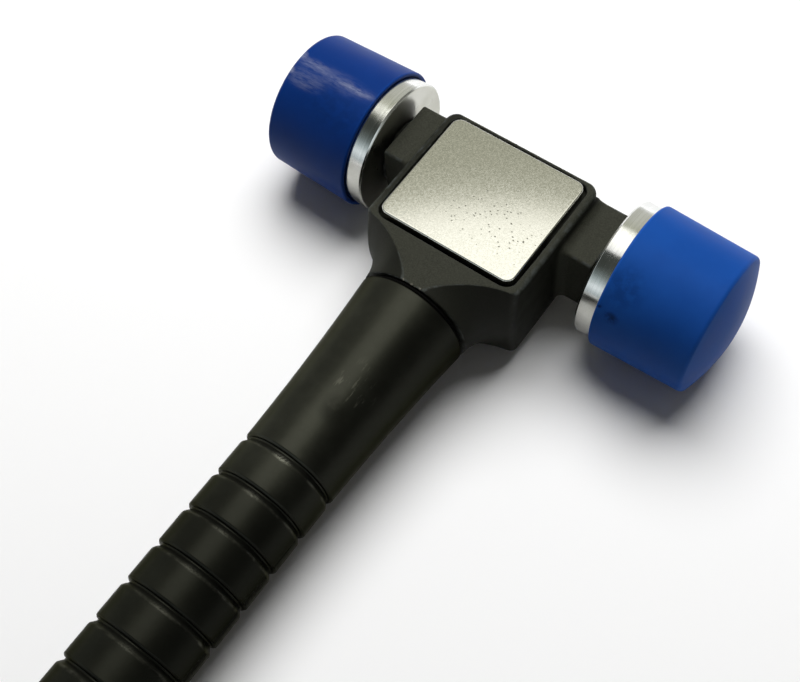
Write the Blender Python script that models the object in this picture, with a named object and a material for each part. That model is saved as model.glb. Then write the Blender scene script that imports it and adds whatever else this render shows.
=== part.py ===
"""Knockdown hammer: a black two-faced head with soft caps on turned pucks, on a grooved handle.

The striking axis runs along X, the handle along -Y, and the plate on top of the head faces +Z.
Every piece is drawn about the point where the striking axis and the handle's axis cross.
One empty then lifts the whole hammer so that the world origin lies under the middle of it.
"""

import math

import bpy
import bmesh
from mathutils import Matrix, Vector

MM = 0.001

# Clearances
SEAT_GAP = 0.3 * MM          # between two pieces that are screwed, pressed or bonded together
PLATE_SIDE_GAP = 0.9 * MM    # open groove round the plate in its recess
HOLE_CLEAR = 0.5 * MM        # left beyond the end of a stud in its blind hole

# Head block and flared neck
BLOCK_WIDTH = 43.6 * MM      # along the striking axis
BLOCK_BACK = 9.0 * MM        # from the striking axis to the face away from the handle
BLOCK_FRONT = 27.32 * MM     # from the striking axis to the shoulder where the flare starts
BLOCK_CORNER = 3.0 * MM      # upright corners at the back
BLOCK_EDGE = 1.6 * MM        # rounded rim of the top and underside
NECK_RADIUS = 14.1 * MM      # least half height of the hollow sweep
NECK_WIDEN = 0.85 * MM       # how much more its half width is there
NECK_FLAT = 0.2 * MM         # how deep the block's top and underside cut into the neck's round
NECK_CHAMFER = 0.15 * MM
FLARE_RADIUS = 11.5 * MM     # hollow sweep from the neck out to the block
FLARE_CUT = 0.57 * MM        # how far the neck's end cuts the sweep short

# Square bosses on the block's two sides
BOSS_LENGTH = 8.6 * MM       # how far each one stands out of the block
BOSS_DROP = 4.3 * MM         # step down from the block's top, and up from its underside
BOSS_SETBACK = 0.1 * MM      # step in from the block's back face
BOSS_EDGE = 0.9 * MM
BOSS_FILLET = 3.0 * MM

# Plate bonded into the top of the head
RIM_SIDE = 2.0 * MM          # wall left round the recess, at its sides, back and front
RIM_BACK = 0.9 * MM
RIM_FRONT = 0.32 * MM
PLATE_CORNER = 2.5 * MM
PLATE_THICKNESS = 2.8 * MM
PLATE_PROUD = 1.0 * MM
PLATE_EDGE = 0.35 * MM
BOND_THICKNESS = 0.5 * MM
BOND_MARGIN = 1.5 * MM

# Pucks, caps, studs and lock washers, the same on both sides
WASHER_THICKNESS = 0.9 * MM
WASHER_WIDTH = 3.2 * MM      # across the ring, from its hole to its rim
PUCK_RADIUS = 17.8 * MM      # at its back
PUCK_TAPER = 0.65 * MM       # how much narrower it is at its front
PUCK_LENGTH = 26.0 * MM
PUCK_CHAMFER = 0.5 * MM
PUCK_SHOWN = 4.8 * MM        # bare band between the puck's back face and the cap's mouth
CAP_WALL = 1.02 * MM         # at the mouth
CAP_TAPER = 0.7 * MM         # how much narrower the cap is where its side meets the face
CAP_RIM_WALL = 3.6 * MM      # from the puck's front to the rim of the face
CAP_CROWN = 3.6 * MM         # how far the face bulges past its rim
CAP_RIM_EDGE = 1.2 * MM
CAP_LIP_EDGE = 0.5 * MM
STUD_RADIUS = 5.0 * MM
STUD_IN_BOSS = 17.0 * MM
STUD_IN_PUCK = 14.0 * MM
STUD_CHAMFER = 0.8 * MM

# Handle, its joining stud and the washer in the joint
NECK_WASHER_THICKNESS = 0.5 * MM
NECK_WASHER_INSET = 0.45 * MM  # from the neck's side in to the washer's rim
HANDLE_TOP_STEP = 0.6 * MM     # how much wider the handle starts than the neck's sweep
HANDLE_TOP_EDGE = 0.4 * MM
TAPER_LENGTH = 48.1 * MM     # from the handle's top to the first groove
TAPER_SAG = 0.4 * MM         # how far the taper's side hollows in from a straight line
GRIP_RADIUS = 12.3 * MM
GROOVE_COUNT = 19
GROOVE_PITCH = 10.2 * MM
GROOVE_DEPTH = 1.3 * MM
GROOVE_FLOOR = 0.7 * MM
GROOVE_LIP = 0.5 * MM        # broken edge on the groove's head side
GROOVE_RAMP = 1.9 * MM       # slope that leads back out on the butt side
BUTT_LENGTH = 19.0 * MM      # plain end below the last groove
BUTT_EDGE = 2.5 * MM
HANDLE_STUD_RADIUS = 6.0 * MM
HANDLE_STUD_IN_HEAD = 22.0 * MM
HANDLE_STUD_IN_GRIP = 34.0 * MM

# Places and sizes that follow from those above
BLOCK_TOP = NECK_RADIUS - NECK_FLAT
BLOCK_HEIGHT = 2 * BLOCK_TOP
NECK_REACH = BLOCK_FRONT + FLARE_RADIUS - FLARE_CUT + NECK_CHAMFER
BOSS_REACH = BLOCK_WIDTH / 2 + BOSS_LENGTH
BOSS_HEIGHT = BLOCK_HEIGHT - 2 * BOSS_DROP
BOSS_DEPTH = 2 * (BLOCK_BACK - BOSS_SETBACK)
PLATE_WIDTH = BLOCK_WIDTH - 2 * (RIM_SIDE + PLATE_SIDE_GAP)
PLATE_BACK = BLOCK_BACK - RIM_BACK - PLATE_SIDE_GAP
PLATE_FRONT = BLOCK_FRONT - RIM_FRONT - PLATE_SIDE_GAP
PLATE_TOP = BLOCK_TOP + PLATE_PROUD
PLATE_BOTTOM = PLATE_TOP - PLATE_THICKNESS
RECESS_FLOOR = PLATE_BOTTOM - BOND_THICKNESS - 2 * SEAT_GAP
STUD_BORE = STUD_RADIUS + SEAT_GAP
WASHER_RADIUS = STUD_BORE + WASHER_WIDTH
PUCK_BACK = BOSS_REACH + WASHER_THICKNESS + 2 * SEAT_GAP
PUCK_FRONT = PUCK_BACK + PUCK_LENGTH
PUCK_FRONT_RADIUS = PUCK_RADIUS - PUCK_TAPER
CAP_BORE = PUCK_RADIUS - PUCK_TAPER * PUCK_SHOWN / PUCK_LENGTH + SEAT_GAP
CAP_FLOOR_BORE = PUCK_FRONT_RADIUS + SEAT_GAP
CAP_MOUTH_RADIUS = CAP_BORE + CAP_WALL
CAP_RIM_RADIUS = CAP_MOUTH_RADIUS - CAP_TAPER
CAP_MOUTH = PUCK_BACK + PUCK_SHOWN
CAP_FLOOR = PUCK_FRONT + SEAT_GAP
CAP_RIM = CAP_FLOOR + CAP_RIM_WALL
HANDLE_BORE = HANDLE_STUD_RADIUS + SEAT_GAP
NECK_WASHER_RADIUS = NECK_RADIUS - NECK_WASHER_INSET
HANDLE_TOP = NECK_REACH + NECK_WASHER_THICKNESS + 2 * SEAT_GAP
HANDLE_TOP_RADIUS = NECK_RADIUS + HANDLE_TOP_STEP
FIRST_GROOVE = HANDLE_TOP + TAPER_LENGTH
LAST_GROOVE = FIRST_GROOVE + (GROOVE_COUNT - 1) * GROOVE_PITCH
HANDLE_END = LAST_GROOVE + BUTT_LENGTH

# Facets round the large and small turned pieces and the handle
LARGE_FACET_COUNT = 48
SMALL_FACET_COUNT = 24
HANDLE_FACET_COUNT = 32

X_AXIS = Vector((1, 0, 0))
Y_AXIS = Vector((0, 1, 0))
Z_AXIS = Vector((0, 0, 1))


def clear_scene():
    """Remove whatever the scene holds, with its meshes and materials."""
    for item in list(bpy.data.objects):
        bpy.data.objects.remove(item, do_unlink=True)
    for store in (bpy.data.meshes, bpy.data.curves, bpy.data.materials):
        for item in list(store):
            store.remove(item)


def make_material(name, colour, roughness, metallic):
    """A plain Principled material."""
    material = bpy.data.materials.new(name)
    material.use_nodes = True
    shader = material.node_tree.nodes["Principled BSDF"]
    shader.inputs["Base Color"].default_value = (*colour, 1.0)
    shader.inputs["Roughness"].default_value = roughness
    shader.inputs["Metallic"].default_value = metallic
    return material


def arc(centre, radius, start, end, steps):
    """Points on a circle from angle start to angle end, in degrees, both ends included."""
    points = []
    for i in range(steps + 1):
        angle = math.radians(start + (end - start) * i / steps)
        points.append((centre[0] + radius * math.cos(angle), centre[1] + radius * math.sin(angle)))
    return points


def finish_mesh(bm, name, sharp_angle=30):
    """Turn a bmesh into a smooth-shaded mesh with faces outward and its hard edges kept."""
    bmesh.ops.remove_doubles(bm, verts=bm.verts, dist=1e-7)
    bmesh.ops.recalc_face_normals(bm, faces=bm.faces)
    mesh = bpy.data.meshes.new(name)
    bm.to_mesh(mesh)
    bm.free()
    mesh.shade_smooth()
    mesh.set_sharp_from_angle(angle=math.radians(sharp_angle))
    return mesh


def turned_mesh(name, profile, axis, segments, ring=False):
    """Spin a profile of (distance along the axis, radius) points round the axis.

    A ring's profile closes on itself. Any other profile starts and ends on the axis.
    """
    across = Z_AXIS
    bm = bmesh.new()
    verts = [bm.verts.new(axis * along + across * radius) for along, radius in profile]
    edges = [bm.edges.new(pair) for pair in zip(verts, verts[1:])]
    if ring:
        edges.append(bm.edges.new((verts[-1], verts[0])))
    bmesh.ops.spin(
        bm,
        geom=verts + edges,
        cent=(0, 0, 0),
        axis=axis,
        angle=2 * math.pi,
        steps=segments,
        use_merge=True,
    )
    return finish_mesh(bm, name)


def lofted_mesh(name, sections):
    """Skin closed outlines that have the same number of points, and close both ends."""
    bm = bmesh.new()
    loops = [[bm.verts.new(point) for point in section] for section in sections]
    count = len(loops[0])
    for low, high in zip(loops, loops[1:]):
        for i in range(count):
            j = (i + 1) % count
            bm.faces.new((low[i], low[j], high[j], high[i]))
    bm.faces.new(loops[0])
    bm.faces.new(loops[-1])
    return finish_mesh(bm, name)


def rounded_outline(low, high, radii, steps=5):
    """Outline of a rectangle from corner low to corner high, with one radius for each corner.

    The radii go round from the low-low corner: low-low, high-low, high-high, low-high.
    """
    corners = (
        ((low[0], low[1]), (1, 1), 180),
        ((high[0], low[1]), (-1, 1), 270),
        ((high[0], high[1]), (-1, -1), 0),
        ((low[0], high[1]), (1, -1), 90),
    )
    points = []
    for (corner, inward, start), radius in zip(corners, radii):
        centre = (corner[0] + inward[0] * radius, corner[1] + inward[1] * radius)
        points += arc(centre, radius, start, start + 90, steps)
    return points


def place(name, mesh, material, turn=0.0):
    """Put a mesh into the scene as one named piece, turned about Z and carried by the frame."""
    piece = bpy.data.objects.new(name, mesh)
    if not mesh.materials:
        mesh.materials.append(material)
    piece.rotation_euler = (0, 0, turn)
    piece.parent = frame
    bpy.context.scene.collection.objects.link(piece)
    return piece


def boolean(piece, name, mesh, operation):
    """Combine a piece with a hidden helper shape."""
    helper = bpy.data.objects.new(name, mesh)
    helper.hide_render = True
    helper.display_type = "WIRE"
    helper.parent = frame
    bpy.context.scene.collection.objects.link(helper)
    modifier = piece.modifiers.new(name, "BOOLEAN")
    modifier.operation = operation
    modifier.solver = "EXACT"
    modifier.object = helper


def edge_insets(edge, steps=3):
    """Depth below a face and inset of the outline there, for an edge rounded with radius edge."""
    insets = []
    for i in range(steps + 1):
        angle = math.radians(90 * i / steps)
        insets.append((edge * (1 - math.sin(angle)), edge * (1 - math.cos(angle))))
    return insets[::-1]


def block_mesh():
    """The block as a stack of plan outlines, drawn in at the rims of the top and underside.

    It runs on past the neck's end, where the flare cuts it off.
    """
    insets = edge_insets(BLOCK_EDGE)
    levels = [(-BLOCK_TOP + depth, inset) for depth, inset in insets]
    levels += [(-z, inset) for z, inset in reversed(levels)]
    front = -NECK_REACH - FLARE_RADIUS
    sections = []
    for z, inset in levels:
        side = BLOCK_WIDTH / 2 - inset
        corner = BLOCK_CORNER - inset
        outline = rounded_outline((-side, front), (side, BLOCK_BACK - inset), (0, 0, corner, corner))
        sections.append([(x, y, z) for x, y in outline])
    return lofted_mesh("block", sections)


def flare_mesh():
    """Neck and hollow flare, turned about the handle's axis and wide enough to hold the block.

    The turned shape is then widened a little, so the neck is slightly oval.
    """
    wide = BLOCK_WIDTH + BLOCK_HEIGHT
    end = -NECK_REACH
    profile = [(end, 0), (end, NECK_RADIUS - NECK_CHAMFER)]
    centre = (NECK_RADIUS + FLARE_RADIUS, end + NECK_CHAMFER - FLARE_CUT)
    first_turn = 180 - math.degrees(math.asin(FLARE_CUT / FLARE_RADIUS))
    sweep = arc(centre, FLARE_RADIUS, first_turn, 90, 12)
    profile += [(along, radius) for radius, along in sweep]
    top = profile[-1][0]
    profile += [(top, wide), (BLOCK_BACK + BLOCK_WIDTH, wide), (BLOCK_BACK + BLOCK_WIDTH, 0)]
    mesh = turned_mesh("flare", profile, Y_AXIS, LARGE_FACET_COUNT)
    mesh.transform(Matrix.Scale(1 + NECK_WIDEN / NECK_RADIUS, 4, X_AXIS))
    return mesh


def boss_section(x, grow):
    """Outline of the square bar at x, grown on every side, but never past the block's back."""
    depth = BOSS_DEPTH / 2 + grow
    height = BOSS_HEIGHT / 2 + grow
    back = min(depth, BOSS_DEPTH / 2)
    radius = max(BOSS_EDGE + grow, BOSS_EDGE / 2)
    outline = rounded_outline((-depth, -height), (back, height), (radius,) * 4, steps=4)
    return [(x, y, z) for y, z in outline]


def boss_mesh():
    """One bar through the block: chamfered ends, and a hollow fillet where it enters each side."""
    root = BLOCK_WIDTH / 2
    half = [(BOSS_REACH, -BOSS_EDGE / 2), (BOSS_REACH - BOSS_EDGE / 2, 0)]
    for along, out in arc((BOSS_FILLET, BOSS_FILLET), BOSS_FILLET, 270, 180, 5):
        half.append((root + along, out))
    half.append((root - BOSS_EDGE, BOSS_FILLET))
    stations = half + [(-x, grow) for x, grow in reversed(half)]
    return lofted_mesh("bosses", [boss_section(x, grow) for x, grow in stations])


def plate_section(z, grow):
    """Plan outline of the plate at height z, grown by the same amount on every side."""
    side = PLATE_WIDTH / 2 + grow
    corner = max(PLATE_CORNER + grow, PLATE_EDGE)
    low = (-side, -PLATE_FRONT - grow)
    high = (side, PLATE_BACK + grow)
    return [(x, y, z) for x, y in rounded_outline(low, high, (corner,) * 4)]


def hole_mesh(name, axis, start, end, radius):
    """Cutter for a round hole along an axis."""
    low, high = sorted((start, end))
    profile = [(low, 0), (low, radius), (high, radius), (high, 0)]
    return turned_mesh(name, profile, axis, SMALL_FACET_COUNT)


def stud_mesh(name, axis, start, end, radius):
    """Plain stud with chamfered ends."""
    low, high = sorted((start, end))
    profile = [
        (low, 0),
        (low, radius - STUD_CHAMFER),
        (low + STUD_CHAMFER, radius),
        (high - STUD_CHAMFER, radius),
        (high, radius - STUD_CHAMFER),
        (high, 0),
    ]
    return turned_mesh(name, profile, axis, SMALL_FACET_COUNT)


def washer_mesh(name, axis, start, thickness, inner, outer, segments):
    """Flat ring."""
    end = start + thickness
    profile = [(start, inner), (start, outer), (end, outer), (end, inner)]
    return turned_mesh(name, profile, axis, segments, ring=True)


def puck_mesh():
    """Turned puck, slightly tapered, with broken edges and a blind hole in its back."""
    bottom = PUCK_BACK + STUD_IN_PUCK + HOLE_CLEAR
    profile = [
        (bottom, 0),
        (bottom, STUD_BORE),
        (PUCK_BACK, STUD_BORE),
        (PUCK_BACK, PUCK_RADIUS - PUCK_CHAMFER),
        (PUCK_BACK + PUCK_CHAMFER, PUCK_RADIUS),
        (PUCK_FRONT - PUCK_CHAMFER, PUCK_FRONT_RADIUS),
        (PUCK_FRONT, PUCK_FRONT_RADIUS - PUCK_CHAMFER),
        (PUCK_FRONT, 0),
    ]
    return turned_mesh("puck", profile, X_AXIS, LARGE_FACET_COUNT)


def cap_mesh():
    """Soft cap: a slightly tapered cup with a rounded lip and a crowned striking face."""
    lip = arc((CAP_MOUTH + CAP_LIP_EDGE, CAP_MOUTH_RADIUS - CAP_LIP_EDGE), CAP_LIP_EDGE, 180, 90, 3)
    rim_radius = CAP_RIM_RADIUS - CAP_RIM_EDGE
    rim = arc((CAP_RIM - CAP_RIM_EDGE, rim_radius), CAP_RIM_EDGE, 90, 20, 4)
    crown_start, crown_radius = rim[-1]
    bulge = CAP_RIM + CAP_CROWN - crown_start
    steps = 6
    crown = []
    for i in range(1, steps + 1):
        share = 1 - i / steps
        crown.append((crown_start + bulge * (1 - share * share), crown_radius * share))
    inside = [(CAP_FLOOR, 0), (CAP_FLOOR, CAP_FLOOR_BORE), (CAP_MOUTH, CAP_BORE)]
    profile = inside + lip + rim + crown
    return turned_mesh("cap", profile, X_AXIS, LARGE_FACET_COUNT)


def taper_points(steps=4):
    """Hollowed side of the taper as (distance below the striking axis, radius), without its end."""
    start = HANDLE_TOP + HANDLE_TOP_EDGE
    length = FIRST_GROOVE - GROOVE_LIP - start
    points = []
    for i in range(steps):
        share = i / steps
        straight = HANDLE_TOP_RADIUS + share * (GRIP_RADIUS - HANDLE_TOP_RADIUS)
        points.append((start + share * length, straight - 4 * TAPER_SAG * share * (1 - share)))
    return points


def handle_profile():
    """Half outline of the handle as (distance below the striking axis, radius), top to butt."""
    bore_end = HANDLE_TOP + HANDLE_STUD_IN_GRIP + HOLE_CLEAR
    root = GRIP_RADIUS - GROOVE_DEPTH
    profile = [
        (bore_end, 0),
        (bore_end, HANDLE_BORE),
        (HANDLE_TOP, HANDLE_BORE),
        (HANDLE_TOP, HANDLE_TOP_RADIUS - HANDLE_TOP_EDGE),
    ]
    profile += taper_points()
    for i in range(GROOVE_COUNT):
        at = FIRST_GROOVE + i * GROOVE_PITCH
        profile += [
            (at - GROOVE_LIP, GRIP_RADIUS),
            (at, GRIP_RADIUS - GROOVE_LIP),
            (at, root),
            (at + GROOVE_FLOOR, root),
            (at + GROOVE_FLOOR + GROOVE_RAMP, GRIP_RADIUS),
        ]
    butt = arc((HANDLE_END - BUTT_EDGE, GRIP_RADIUS - BUTT_EDGE), BUTT_EDGE, 90, 0, 5)
    profile += butt + [(HANDLE_END, 0)]
    return profile


def build_head():
    """Head body: flared block, bosses, recess for the plate and blind holes for the studs."""
    body = place("head_body", block_mesh(), black_head)
    boolean(body, "flare", flare_mesh(), "INTERSECT")
    boolean(body, "bosses", boss_mesh(), "UNION")
    recess = [plate_section(z, PLATE_SIDE_GAP) for z in (RECESS_FLOOR, PLATE_TOP)]
    boolean(body, "recess", lofted_mesh("recess", recess), "DIFFERENCE")
    bottom = BOSS_REACH - STUD_IN_BOSS - HOLE_CLEAR
    for side, name in ((1, "right_bore"), (-1, "left_bore")):
        hole = hole_mesh(name, X_AXIS, side * bottom, side * (BOSS_REACH + BOSS_EDGE), STUD_BORE)
        boolean(body, name, hole, "DIFFERENCE")
    hole = hole_mesh(
        "handle_bore",
        Y_AXIS,
        -NECK_REACH - NECK_CHAMFER,
        -NECK_REACH + HANDLE_STUD_IN_HEAD + HOLE_CLEAR,
        HANDLE_BORE,
    )
    boolean(body, "handle_bore", hole, "DIFFERENCE")


def build_plate():
    """Plate with a broken top edge, and the bond that holds it in the recess."""
    levels = [(PLATE_BOTTOM, 0), (PLATE_TOP - PLATE_EDGE, 0), (PLATE_TOP, -PLATE_EDGE)]
    plate = lofted_mesh("top_plate", [plate_section(z, grow) for z, grow in levels])
    place("top_plate", plate, nickel)
    bond_floor = RECESS_FLOOR + SEAT_GAP
    levels = (bond_floor, bond_floor + BOND_THICKNESS)
    bond = lofted_mesh("plate_bond", [plate_section(z, -BOND_MARGIN) for z in levels])
    place("plate_bond", bond, adhesive)


def build_striking_ends():
    """Stud, lock washer, puck and cap on each side, each pair sharing one mesh."""
    stud = stud_mesh("stud", X_AXIS, BOSS_REACH - STUD_IN_BOSS, PUCK_BACK + STUD_IN_PUCK, STUD_RADIUS)
    washer = washer_mesh(
        "washer",
        X_AXIS,
        BOSS_REACH + SEAT_GAP,
        WASHER_THICKNESS,
        STUD_BORE,
        WASHER_RADIUS,
        SMALL_FACET_COUNT,
    )
    puck = puck_mesh()
    cap = cap_mesh()
    for side, turn in (("right", 0.0), ("left", math.pi)):
        place(side + "_stud", stud, steel, turn)
        place(side + "_washer", washer, black_steel, turn)
        place(side + "_puck", puck, aluminium, turn)
        place(side + "_cap", cap, blue_soft, turn)


def build_handle():
    """Handle, its joining stud and the washer that shows as a dark ring at the neck."""
    down = -Y_AXIS
    handle = turned_mesh("handle", handle_profile(), down, HANDLE_FACET_COUNT)
    place("handle", handle, black_handle)
    stud = stud_mesh(
        "handle_stud",
        down,
        NECK_REACH - HANDLE_STUD_IN_HEAD,
        HANDLE_TOP + HANDLE_STUD_IN_GRIP,
        HANDLE_STUD_RADIUS,
    )
    place("handle_stud", stud, steel)
    washer = washer_mesh(
        "neck_washer",
        down,
        NECK_REACH + SEAT_GAP,
        NECK_WASHER_THICKNESS,
        HANDLE_BORE,
        NECK_WASHER_RADIUS,
        LARGE_FACET_COUNT,
    )
    place("neck_washer", washer, black_rubber)


clear_scene()

black_head = make_material("black_head", (0.035, 0.036, 0.031), 0.55, 0.0)
black_handle = make_material("black_handle", (0.025, 0.026, 0.022), 0.42, 0.0)
black_rubber = make_material("black_rubber", (0.008, 0.008, 0.008), 0.8, 0.0)
black_steel = make_material("black_steel", (0.03, 0.03, 0.03), 0.5, 1.0)
nickel = make_material("nickel", (0.62, 0.61, 0.55), 0.4, 1.0)
adhesive = make_material("adhesive", (0.12, 0.12, 0.11), 0.7, 0.0)
aluminium = make_material("aluminium", (0.8, 0.81, 0.8), 0.22, 1.0)
steel = make_material("steel", (0.55, 0.55, 0.54), 0.35, 1.0)
blue_soft = make_material("blue_soft", (0.012, 0.06, 0.3), 0.42, 0.0)

# The hammer's own middle lies on the world's Z axis and its caps stand on z = 0
frame = bpy.data.objects.new("hammer_frame", None)
frame.location = (0, (HANDLE_END - CAP_MOUTH_RADIUS) / 2, CAP_MOUTH_RADIUS)
bpy.context.scene.collection.objects.link(frame)

build_head()
build_plate()
build_striking_ends()
build_handle()
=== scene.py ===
"""Looks of the knockdown hammer: fine surfaces, finishes, studio light and camera.

Surfaces are worked out in millimetres about the point where the striking axis (X) and the
handle's axis (Y) cross, with the plate facing +Z, and are then moved into the frame's metres.
"""

import math

import bpy
import numpy as np
from mathutils import Matrix, Vector


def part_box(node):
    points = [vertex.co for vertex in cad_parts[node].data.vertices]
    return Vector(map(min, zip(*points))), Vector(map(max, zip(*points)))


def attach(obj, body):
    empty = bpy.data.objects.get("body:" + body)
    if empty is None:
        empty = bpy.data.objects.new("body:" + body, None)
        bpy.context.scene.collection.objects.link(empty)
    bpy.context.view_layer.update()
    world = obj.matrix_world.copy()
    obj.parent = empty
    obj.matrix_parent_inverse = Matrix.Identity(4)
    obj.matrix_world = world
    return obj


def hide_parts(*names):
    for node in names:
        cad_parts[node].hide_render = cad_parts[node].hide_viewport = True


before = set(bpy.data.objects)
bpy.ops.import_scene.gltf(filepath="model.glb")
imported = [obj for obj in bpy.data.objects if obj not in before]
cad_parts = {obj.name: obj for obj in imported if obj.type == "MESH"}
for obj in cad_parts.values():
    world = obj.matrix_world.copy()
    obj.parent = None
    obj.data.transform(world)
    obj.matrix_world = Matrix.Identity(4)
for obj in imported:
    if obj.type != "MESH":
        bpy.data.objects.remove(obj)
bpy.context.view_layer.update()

MM = 0.001
cap_low, cap_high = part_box("right_cap")
CROSSING = np.array([0.0, (cap_low.y + cap_high.y) / 2, (cap_low.z + cap_high.z) / 2])
X_AXIS, Y_AXIS, Z_AXIS = np.eye(3)

# Head block, flared neck and bosses, in millimetres
BLOCK_SIDE = 21.8
BLOCK_TOP = 13.9
BLOCK_BACK = 9.0
BACK_CORNER = 3.0
NECK_RADIUS = 14.1      # half height of the neck
NECK_WIDEN = 0.85       # how much more its half width is
NECK_CHAMFER = 0.15
NECK_END = 38.4
FLARE_RADIUS = 11.5
FLARE_CUT = 0.57        # how far the neck's end cuts the sweep short
FRONT_CORNER = 1.7      # how far the softened front corner reaches along each side
NECK_RIM = 0.3          # roundings of the block's rims
FRONT_RIM = 0.25
SIDE_RIM = 1.6
TOP_BACK_RIM = 0.65
# The front corner's worn strip also carries a painted highlight.
CORNER_WEAR = 0.55      # how far the front corner is rubbed
RECESS_SIDE = 19.8
RECESS_FRONT = -27.0
RECESS_BACK = 8.1
RECESS_CORNER = 3.4
RECESS_FLOOR = 11.0
RECESS_EDGE = 0.3
RECESS_FOOT = 0.3
BOSS_END = 30.4
BOSS_DEPTH = 8.9
BOSS_HEIGHT = 9.6
BOSS_EDGE = 0.9
BOSS_END_EDGE = 0.5
BOSS_FILLET = 3.0
BOSS_ROOT = 0.9         # how deep in the block the fillet starts
BOSS_BORE_END = 12.9
STUD_BORE = 5.3
HOLE_BEVEL = 0.3
FLAT_LEAD = 0.15        # from the end of a bend to the first point of the flat beside it

# Points along half of the block's outline, from the neck's middle to the back's
NECK_POINTS = 5
CHAMFER_POINTS = 4
FLARE_POINTS = 28
CORNER_POINTS = 12
SIDE_PLACES = np.array([[0, 0.01, 0.3, 0.6, 0.99]])     # as shares of the side
BEND_POINTS = 12
BACK_PLACES = np.array([[0, 0.01, 0.3, 0.6, 1.0]])      # as shares of half the back

# Plate
PLATE_SIDE = 18.9
PLATE_FRONT = -26.1
PLATE_BACK = 7.2
PLATE_CORNER = 2.5
PLATE_BOTTOM = 12.1
PLATE_TOP = 14.9
PLATE_EDGE = 0.4
PLATE_FOOT = 0.2

# Studs, washers, pucks and caps
STUD_RADIUS = 5.0
STUD_START = 13.4
STUD_END = 45.9
STUD_CHAMFER = 0.8
THREAD_PITCH = 1.5
THREAD_DEPTH = 0.75
THREAD_CREST = 0.12     # shares of half a pitch taken by the flat crest and the flank
THREAD_FLANK = 0.7
THREAD_STEPS = 10       # points along each pitch
THREAD_COUNT = 48       # points round the stud
WASHER_BACK = 30.7
WASHER_FRONT = 31.6
WASHER_RADIUS = 8.5
WASHER_EDGE = 0.15
PUCK_BACK = 31.9
PUCK_FRONT = 57.9
PUCK_RADIUS = 17.8
PUCK_FRONT_RADIUS = 17.15
PUCK_CHAMFER = 0.5
PUCK_HOLE_BEVEL = 0.5
PUCK_BORE_END = 46.4
CAP_MOUTH = 36.7
CAP_FLOOR = 58.2
CAP_BORE = 17.98
CAP_FLOOR_BORE = 17.45
CAP_MOUTH_RADIUS = 19.0
CAP_RIM_RADIUS = 18.3
CAP_RIM = 61.8
CAP_RIM_EDGE = 1.2
CAP_TIP = 65.4

# Handle and the ring at its top, as distances below the striking axis
RING_TOP = 38.7
RING_BOTTOM = 39.2
RING_RADIUS = 13.65
RING_EDGE = 0.12
HANDLE_BORE = 6.3
HANDLE_BORE_END = 74.0
HANDLE_TOP = 39.5
HANDLE_TOP_RADIUS = 14.7
HANDLE_TOP_EDGE = 0.4
TAPER_SAG = 0.4
GRIP_RADIUS = 12.3
GROOVE_COUNT = 19
GROOVE_PITCH = 10.2
FIRST_GROOVE = 87.6
GROOVE_DEPTH = 1.05
GROOVE_FLOOR = 0.5
GROOVE_LIP = 0.5
GROOVE_RAMP = 1.35
HANDLE_END = 290.2
BUTT_EDGE = 2.5
BUTT_LEAD = 0.2

# Points round a turned piece, and the bend from which an edge is shaded as a crease
TURN_COUNT = 160
GRIP_COUNT = 144
SHARP_ANGLE = math.radians(50)


# ---------------------------------------------------------------- surfaces

def soften(corners, radii, steps=6, lead=0.1):
    """Round the inner corners of an open line.

    Each bend is the circle of that radius that touches both sides of the corner, so it leaves
    a side at radius / tan(half the angle) from the corner. One more point just before and just
    after each bend keeps the sides flat when they are shaded.
    """
    line = np.asarray(corners, float)
    radius = np.broadcast_to(np.asarray(radii, float), (len(line) - 2,))[:, None]
    corner = line[1:-1]
    back, ahead = line[:-2] - corner, line[2:] - corner
    back = back / np.linalg.norm(back, axis=1, keepdims=True)
    ahead = ahead / np.linalg.norm(ahead, axis=1, keepdims=True)
    half = np.arccos(np.clip((back * ahead).sum(1, keepdims=True), -1, 1)) / 2
    middle = back + ahead
    middle = middle / np.linalg.norm(middle, axis=1, keepdims=True)
    centre = corner + middle * radius / np.sin(half)
    reach = radius / np.tan(half)
    swing = math.pi - 2 * half
    share = np.linspace(0, 1, steps + 1)
    first = (np.sin((1 - share) * swing) / np.sin(swing))[..., None]
    last = (np.sin(share * swing) / np.sin(swing))[..., None]
    start, end = corner + back * reach, corner + ahead * reach
    bend = centre[:, None] + first * (start - centre)[:, None] + last * (end - centre)[:, None]
    before, after = start + back * lead, end + ahead * lead
    inner = np.concatenate((before[:, None], bend, after[:, None]), axis=1)
    return np.concatenate((line[:1], inner.reshape(-1, 2), line[-1:]))


def rounded_rectangle(low, high, radius, bend=10, lead=FLAT_LEAD):
    """Outlines of rectangles with round corners, all with the same number of points.

    low, high and radius hold one value a level. Each corner is a quarter circle about its own
    centre, with one more point on the side just before and after it.
    """
    low, high = np.asarray(low, float), np.asarray(high, float)
    radius = np.asarray(radius, float).reshape(-1, 1, 1)
    sign = np.array([(-1, -1), (1, -1), (1, 1), (-1, 1)])
    corner = np.where(sign > 0, high[:, None], low[:, None])
    centre = corner - sign * radius
    turn = np.radians(180 + 90 * np.arange(4)[:, None] + np.linspace(0, 90, bend + 1))
    spoke = np.stack((np.cos(turn), np.sin(turn)), -1)
    arc = centre[:, :, None] + radius[..., None] * spoke
    along = np.stack((-np.sin(turn), np.cos(turn)), -1) * lead
    arc = np.concatenate((arc[:, :, :1] - along[:, :1], arc, arc[:, :, -1:] + along[:, -1:]), 2)
    return arc.reshape(len(low), -1, 2)


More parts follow.
